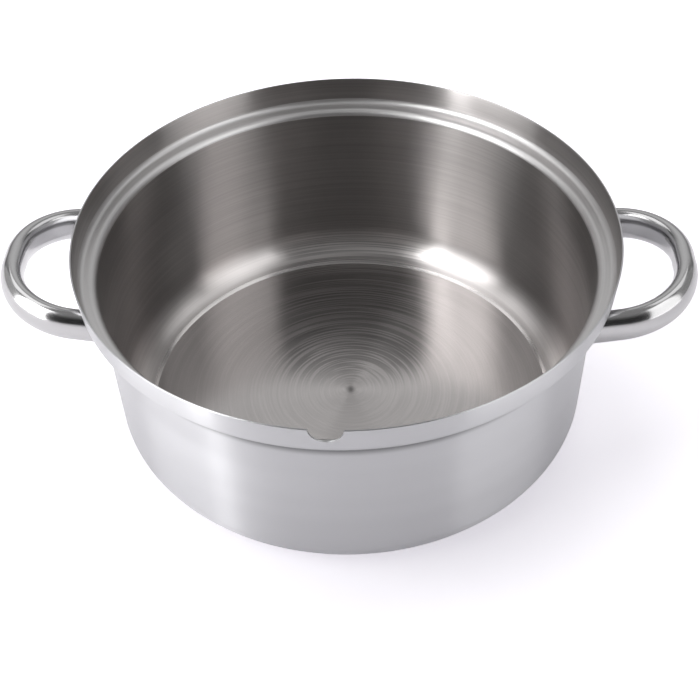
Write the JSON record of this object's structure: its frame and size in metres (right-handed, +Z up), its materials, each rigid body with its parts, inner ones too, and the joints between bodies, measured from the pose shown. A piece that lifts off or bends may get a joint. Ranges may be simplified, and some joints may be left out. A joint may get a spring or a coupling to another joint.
{
  "type": "soup kettle pan",
  "caption": "Round open steel kettle pan with a stepped rim, a ledge for an inset pan, a rim notch and welded oval tube loop handles at both sides.",
  "frame": {"origin": "middle of the base's underside, on the pan's axis", "axes": "+Z up along the pan's axis, X through both handles, the notch to the front at -Y"},
  "size_m": [0.4126, 0.3198, 0.134],
  "materials": {
    "pan_steel": "polished outside, circular satin brushing inside",
    "handle_steel": "mirror polished",
    "weld_steel": "dressed and polished weld"
  },
  "bodies": {
    "root": {"pan_shell": "pan_steel", "handle_right": "handle_steel", "handle_right_front_weld": "weld_steel", "handle_right_rear_weld": "weld_steel", "handle_left": "handle_steel", "handle_left_front_weld": "weld_steel", "handle_left_rear_weld": "weld_steel"}
  },
  "joints": []
}
